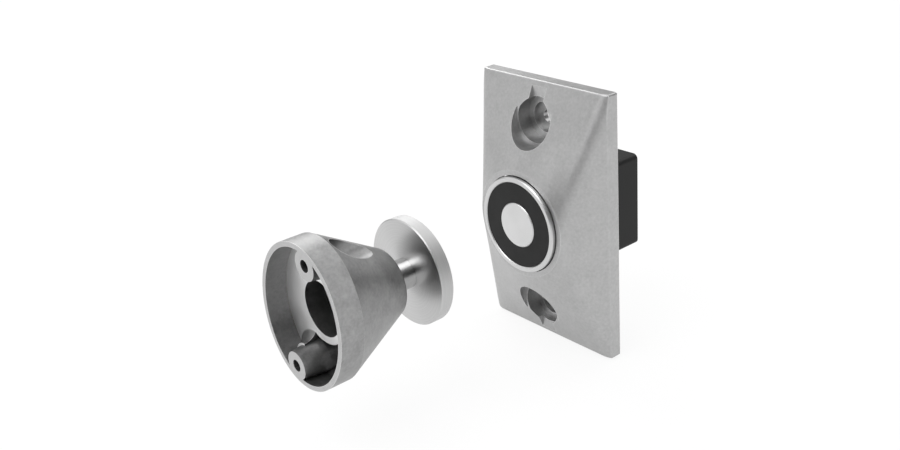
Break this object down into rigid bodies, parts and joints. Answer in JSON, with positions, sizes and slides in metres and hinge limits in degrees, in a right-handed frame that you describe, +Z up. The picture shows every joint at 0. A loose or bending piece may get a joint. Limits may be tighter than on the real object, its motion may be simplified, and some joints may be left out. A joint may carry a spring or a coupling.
{
  "type": "electromagnetic door holder",
  "caption": "Wall magnet on a cast cover plate with a housing behind it, facing a swivelling armature disc on an oval cast cup for the door.",
  "frame": {"origin": "centre of the cover plate's back face, where it lies on the wall", "axes": "+X right and +Z up on the wall; -Y out of the wall, along the magnet's axis towards the door unit"},
  "size_m": [0.0698, 0.1581, 0.1142],
  "materials": {
    "satin_casting": "satin",
    "cup_casting": "satin",
    "pot_steel": "turned",
    "pole_steel": "ground",
    "disc_steel": "turned and plated",
    "stud_steel": "turned",
    "zinc_steel": "zinc plated",
    "spring_steel": "dark",
    "compound": "matt potting compound",
    "black_housing": "fine texture",
    "bobbin_nylon": "moulded",
    "liner_nylon": "moulded",
    "copper": "enamelled wire",
    "pin_brass": "plain",
    "board": "glass fibre board",
    "component_black": "moulded",
    "component_blue": "lacquered",
    "terminal_green": "moulded"
  },
  "bodies": {
    "wall_unit": {"face_plate": "satin_casting", "magnet_shell": "pot_steel", "pole_core": "pole_steel", "potting_ring": "compound", "coil_bobbin": "bobbin_nylon", "coil_winding": "copper", "coil_pins": "pin_brass", "mounting_bracket": "zinc_steel", "bracket_screws": "zinc_steel", "core_washer": "zinc_steel", "core_screw": "zinc_steel", "rear_housing": "black_housing", "housing_lid": "black_housing", "lid_screws": "zinc_steel", "circuit_board": "board", "bridge_rectifier": "component_black", "surge_suppressor": "component_blue", "terminal_block": "terminal_green", "terminal_screws": "pin_brass"},
    "door_unit": {"armature_base": "cup_casting", "seat_ring": "zinc_steel", "wave_spring": "spring_steel", "retaining_ring": "spring_steel"},
    "liner": {"liner_front": "liner_nylon", "liner_rear": "liner_nylon"},
    "stud": {"ball_stud": "stud_steel", "disc_screw": "zinc_steel"},
    "disc": {"armature_disc": "disc_steel"}
  },
  "joints": [
    {"name": "door_travel", "type": "slide", "parent": "wall_unit", "child": "door_unit", "axis": [0, 1, 0], "range_m": [0, 0.0489]},
    {"name": "swivel_pitch", "type": "hinge", "parent": "door_unit", "child": "liner", "pos_m": [0, -0.0985, 0], "axis": [1, 0, 0], "range_deg": [-5, 5]},
    {"name": "swivel_yaw", "type": "hinge", "parent": "liner", "child": "stud", "pos_m": [0, -0.0985, 0], "axis": [0, 0, 1], "range_deg": [-5, 5]},
    {"name": "disc_turn", "type": "hinge", "parent": "stud", "child": "disc", "pos_m": [0, -0.07745, 0], "axis": [0, 1, 0], "continuous": true}
  ]
}
